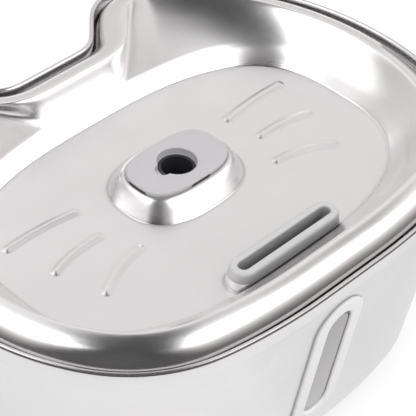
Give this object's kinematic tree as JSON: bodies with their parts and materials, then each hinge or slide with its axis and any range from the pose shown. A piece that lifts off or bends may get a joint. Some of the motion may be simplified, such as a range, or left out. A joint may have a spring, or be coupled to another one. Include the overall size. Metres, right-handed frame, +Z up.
{
  "type": "pet water fountain",
  "caption": "Steel drinking fountain for pets with a cat-head outline, a lift-off tray with whisker ribs, a spout cap, a drain slot, a level window and a pump with a filter inside.",
  "frame": {"origin": "on the ground under the middle of the bowl's outline", "axes": "+Z up; -Y is the front with the level window; the ears point to +Y"},
  "size_m": [0.2424, 0.1916, 0.1153],
  "materials": {
    "bowl_steel": "satin brushed",
    "tray_steel": "satin floor, polished walls",
    "ring_plastic": "smooth moulded",
    "cap_plastic": "fine matte moulded",
    "foot_rubber": "matte",
    "frame_plastic": "smooth moulded",
    "lens_plastic": "smoky translucent",
    "dark_rubber": "matte",
    "pump_plastic": "fine matte moulded",
    "gate_plastic": "fine matte moulded",
    "box_plastic": "smooth moulded",
    "impeller_plastic": "smooth moulded",
    "fleece": "non-woven",
    "carbon": "granular",
    "sponge": "open-cell foam",
    "magnet": "sintered",
    "ceramic": "ground ceramic",
    "core_steel": "laminated",
    "copper": "enamelled wire",
    "resin": "cast resin"
  },
  "bodies": {
    "base": {"bowl": "bowl_steel", "feet": "foot_rubber", "window_frame": "frame_plastic", "window_lens": "lens_plastic", "window_gasket": "dark_rubber", "window_backplate": "frame_plastic", "cable_gland": "dark_rubber", "riser": "pump_plastic", "filter_box": "box_plastic", "prefilter_sponge": "sponge", "pump_body": "pump_plastic", "pump_cover": "pump_plastic", "cover_seal": "dark_rubber", "impeller_shaft": "ceramic", "shaft_bushes": "dark_rubber", "stator_core": "core_steel", "motor_coil": "copper", "potting": "resin", "suction_cups": "dark_rubber"},
    "tray": {"tray": "tray_steel", "slot_ring": "ring_plastic"},
    "cap": {"spout_cap": "cap_plastic"},
    "cartridge": {"filter_frame": "frame_plastic", "filter_fleece": "fleece", "carbon_bed": "carbon"},
    "rotor": {"impeller": "impeller_plastic", "rotor_magnet": "magnet"},
    "gate": {"flow_gate": "gate_plastic"}
  },
  "joints": [
    {"name": "tray_lift", "type": "slide", "parent": "base", "child": "tray", "axis": [0, 0, 1], "range_m": [0, 0.09]},
    {"name": "cap_lift", "type": "slide", "parent": "tray", "child": "cap", "axis": [0, 0, 1], "range_m": [0, 0.03]},
    {"name": "cartridge_lift", "type": "slide", "parent": "base", "child": "cartridge", "axis": [0, 0, 1], "range_m": [0, 0.022]},
    {"name": "rotor_spin", "type": "hinge", "parent": "base", "child": "rotor", "pos_m": [0, -0.00299, 0.0338], "axis": [0, 1, 0], "continuous": true},
    {"name": "gate_slide", "type": "slide", "parent": "base", "child": "gate", "axis": [1, 0, 0], "range_m": [0, 0.007]}
  ]
}
